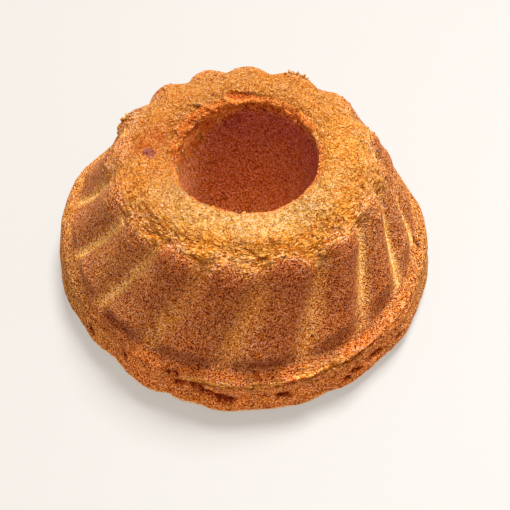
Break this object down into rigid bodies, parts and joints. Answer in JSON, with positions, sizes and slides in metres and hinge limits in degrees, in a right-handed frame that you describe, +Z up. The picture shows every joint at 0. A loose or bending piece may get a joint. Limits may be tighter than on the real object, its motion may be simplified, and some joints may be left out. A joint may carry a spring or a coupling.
{
  "type": "ring cake",
  "caption": "Lemon ring cake baked in a swirled, fluted tin and turned out: browned fluted wall, torn pale crown, brim round the foot and an open hole through the middle.",
  "frame": {"origin": "middle of the flat face that the cake stands on", "axes": "+Z up along the hole, -Y towards the viewer, +X to the viewer's right"},
  "size_m": [0.2188, 0.2164, 0.0921],
  "materials": {
    "crust": "matt baked sponge: browned flutes with fine open pores, paler grooves and pale torn crumb on the crown"
  },
  "bodies": {
    "root": {"cake": "crust"}
  },
  "joints": []
}
